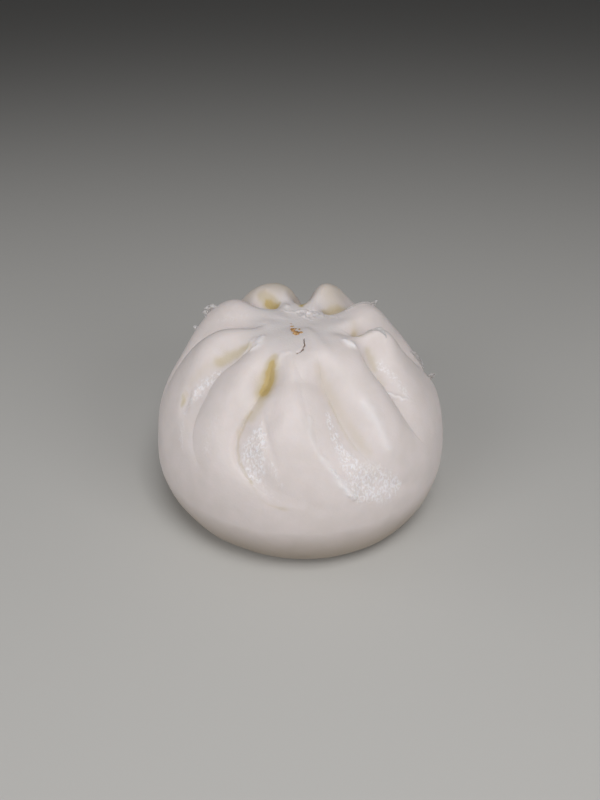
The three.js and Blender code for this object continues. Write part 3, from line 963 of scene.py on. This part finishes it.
def add_frill(bm, start, end, height, lean, seed):
    """A grid whose x runs along the frill and whose y runs up it, bent onto the bun."""
    grid = bmesh.ops.create_grid(bm, x_segments=FRILL_STEPS, y_segments=FRILL_ROWS, size=0.5)
    for vertex in grid["verts"]:
        share = np.clip(vertex.co.x + 0.5, 0, 1)
        rise = np.clip(vertex.co.y + 0.5, 0, 1)
        tall = frill_height(share, height, seed)
        bend = rise * rise * tall / height
        crumple = noise.noise(Vector((share * CRUMPLES, rise * 2, seed * 2.3))) * rise
        wave = noise.noise(Vector((share * WAVES, 7.7, seed * 2.3)))
        place_column = start[0] + (end[0] - start[0]) * share + lean[0] * bend
        place_column += FRILL_WAVE * wave + FRILL_CRUMPLE * height * crumple
        place_latitude = start[1] + (end[1] - start[1]) * share + lean[1] * bend
        lift = -FRILL_ROOT + rise * (tall + FRILL_ROOT)
        vertex.co = Vector(skin(place_column, place_latitude, lift)[0]) * MM
    faces = list({face for vertex in grid["verts"] for face in vertex.link_faces})
    bmesh.ops.solidify(bm, geom=faces, thickness=FRILL_THICKNESS * MM)


bm = bmesh.new()
for frill in FRILLS:
    add_frill(bm, **frill)
bmesh.ops.recalc_face_normals(bm, faces=bm.faces)
frills = new_object("torn_flakes", bm)
print("the frills have", len(frills.data.polygons), "faces")

# %% [markdown]
# ## The flake material
#
# The flakes are the same dough, dried thin. They let more light through, so they get a
# stronger scattering, and they share the grain group with the bun.

# %% The flake material
FLAKE_SHADE = (0.60, 0.56, 0.53, 1)
FLAKE_PALE = (0.80, 0.76, 0.74, 1)
FLAKE_GRAIN = 2200


def build_flake_material():
    material, tree, shader = new_material(
        "dried_flake", Subsurface_Weight=0.5, Subsurface_Scale=0.002,
        Subsurface_Radius=(1.0, 0.85, 0.7), IOR=1.42)
    place = add_node(tree, "ShaderNodeTexCoord").outputs["Object"]
    grain = use_group(tree, grain_group, place, FLAKE_GRAIN)
    colour = mix_colours(tree, grain["Clouds"], FLAKE_SHADE, FLAKE_PALE)
    plug(tree, shader.inputs["Base Color"], colour)
    roughness = calculate(tree, "MULTIPLY_ADD", grain["Clouds"], 0.3, 0.35)
    plug(tree, shader.inputs["Roughness"], roughness)
    plug(tree, shader.inputs["Normal"], bump(tree, grain["Pores"], strength=0.3, depth=0.3))
    return material


frills.data.materials.append(build_flake_material())
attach(frills, "root")
print("flake material:", frills.data.materials[0].name)

# %% [markdown]
# ## Crumbs of filling
#
# A little of the filling came up through the knot and stuck there: a few amber crumbs and
# strands, each under 3 mm. Each one is a small sphere, drawn out, bent by noise and pressed
# into the skin.

# %% Crumbs of filling
CRUMBS = [
    # column, latitude, length and width in mm, and turn of the long axis in degrees
    (3.42, 9.6, 2.4, 1.8, 70),
    (3.60, 8.6, 1.4, 1.1, 60),
    (3.28, 8.0, 1.6, 1.3, 120),
    (3.12, 6.8, 1.7, 1.2, 20),
    (3.54, 6.2, 1.3, 0.8, 100),
    (3.35, 5.8, 1.2, 0.6, 10),
    (3.85, 6.4, 1.0, 0.6, 0),
    (2.60, 4.6, 1.5, 0.7, 60),
    (1.95, 3.4, 1.4, 0.5, 40),
]
CRUMB_SINK = 0.1                # mm by which its middle lies below the skin
CRUMB_FLATNESS = 0.8
CRUMB_DENT = 0.45               # share by which noise moves its surface in and out
CRUMB_DENTS = 3.1               # a higher number gives more and smaller dents
FILLING_DARK = (0.30, 0.13, 0.03, 1)
FILLING_AMBER = (0.58, 0.36, 0.16, 1)
FILLING_GRAIN = 6000


def add_crumb(bm, place_column, place_latitude, length, width, turn, seed):
    ball = bmesh.ops.create_icosphere(bm, subdivisions=3, radius=0.5)
    foot, tip = skin([place_column] * 2, [place_latitude] * 2, np.array([-CRUMB_SINK, 1.0]))
    upright = Vector(tip - foot).to_track_quat("Z", "Y").to_matrix()
    spin = Matrix.Rotation(math.radians(turn), 3, "Z")
    for vertex in ball["verts"]:
        dent = noise.noise(vertex.co * CRUMB_DENTS + Vector((seed, 0, 0)))
        shape = vertex.co * (1 + CRUMB_DENT * dent)
        shape = Vector((shape.x * length, shape.y * width, shape.z * width * CRUMB_FLATNESS))
        vertex.co = (Vector(foot) + upright @ spin @ shape) * MM


bm = bmesh.new()
for seed, crumb in enumerate(CRUMBS):
    add_crumb(bm, *crumb, seed=seed * 2.3)
crumbs = new_object("filling_crumbs", bm)


def build_filling():
    material, tree, shader = new_material(
        "filling", Subsurface_Weight=0.2, Subsurface_Scale=0.0008, Roughness=0.35)
    place = add_node(tree, "ShaderNodeTexCoord").outputs["Object"]
    grain = use_group(tree, grain_group, place, FILLING_GRAIN)
    share = between(tree, grain["Clouds"], 0.4, 0.62)
    colour = mix_colours(tree, share, FILLING_DARK, FILLING_AMBER)
    plug(tree, shader.inputs["Base Color"], colour)
    plug(tree, shader.inputs["Normal"], bump(tree, grain["Pores"], strength=0.5, depth=0.2))
    return material


crumbs.data.materials.append(build_filling())
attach(crumbs, "root")
print(len(CRUMBS), "crumbs of filling lie on the knot")

# %% [markdown]
# ## Floor, light and camera
#
# The bun lies on a plain pale floor. The key light hangs in front of it and above, and soft
# boxes stand at both sides, so that the folds are shaded gently. A weak even light fills the
# rest. The camera looks down on the bun from the front. From here on, lengths are in metres.

# %% Floor, light and camera
FLOOR_SIZE = 8.0
FLOOR_TONE = (0.55, 0.54, 0.52, 1)
CAMERA_ELEVATION = math.radians(34)
CAMERA_DISTANCE = 5 * RADIUS * MM
CAMERA_AIM = Vector((0, 0, 0.71 * RADIUS * MM))
CAMERA_LENS = 32.5              # in mm, on a sensor this wide:
SENSOR_WIDTH = 36
LIGHTS = [
    # name, place, width, power in watts
    ("key", Vector((0.08, -0.29, 0.60)), 0.28, 1.90),
    ("right_softbox", Vector((0.39, -0.43, 0.30)), 0.35, 1.10),
    ("left_softbox", Vector((-0.38, -0.42, 0.33)), 0.35, 0.98),
    ("side_softbox", Vector((-0.62, 0.0, 0.20)), 0.30, 0.45),
]
WORLD_STRENGTH = 0.06


def build_floor():
    bm = bmesh.new()
    bmesh.ops.create_grid(bm, x_segments=1, y_segments=1, size=FLOOR_SIZE / 2)
    floor = new_object("floor", bm, smooth=False)
    material, _, _ = new_material("pale_floor", Base_Color=FLOOR_TONE, Roughness=0.7)
    floor.data.materials.append(material)


def add_area_light(name, place, size, power):
    light = bpy.data.lights.new(name, "AREA")
    light.size = size
    light.energy = power
    obj = bpy.data.objects.new(name, light)
    bpy.context.scene.collection.objects.link(obj)
    obj.location = place
    obj.rotation_euler = (CAMERA_AIM - place).to_track_quat("-Z", "Y").to_euler()


def set_world(strength):
    world = bpy.data.worlds.new("even_light")
    world.use_nodes = True
    background = world.node_tree.nodes["Background"]
    background.inputs["Color"].default_value = (1, 1, 1, 1)
    background.inputs["Strength"].default_value = strength
    bpy.context.scene.world = world


def add_camera():
    camera = bpy.data.cameras.new("camera")
    camera.sensor_width = SENSOR_WIDTH
    camera.lens = CAMERA_LENS
    camera.clip_start = 0.01
    obj = bpy.data.objects.new("camera", camera)
    bpy.context.scene.collection.objects.link(obj)
    forward = Vector((0, math.cos(CAMERA_ELEVATION), -math.sin(CAMERA_ELEVATION)))
    obj.location = CAMERA_AIM - forward * CAMERA_DISTANCE
    obj.rotation_euler = forward.to_track_quat("-Z", "Y").to_euler()
    bpy.context.scene.camera = obj


build_floor()
for light in LIGHTS:
    add_area_light(*light)
set_world(WORLD_STRENGTH)
add_camera()
bpy.context.scene.view_settings.view_transform = "Standard"
print("the camera is", round(CAMERA_DISTANCE / MM), "mm away")
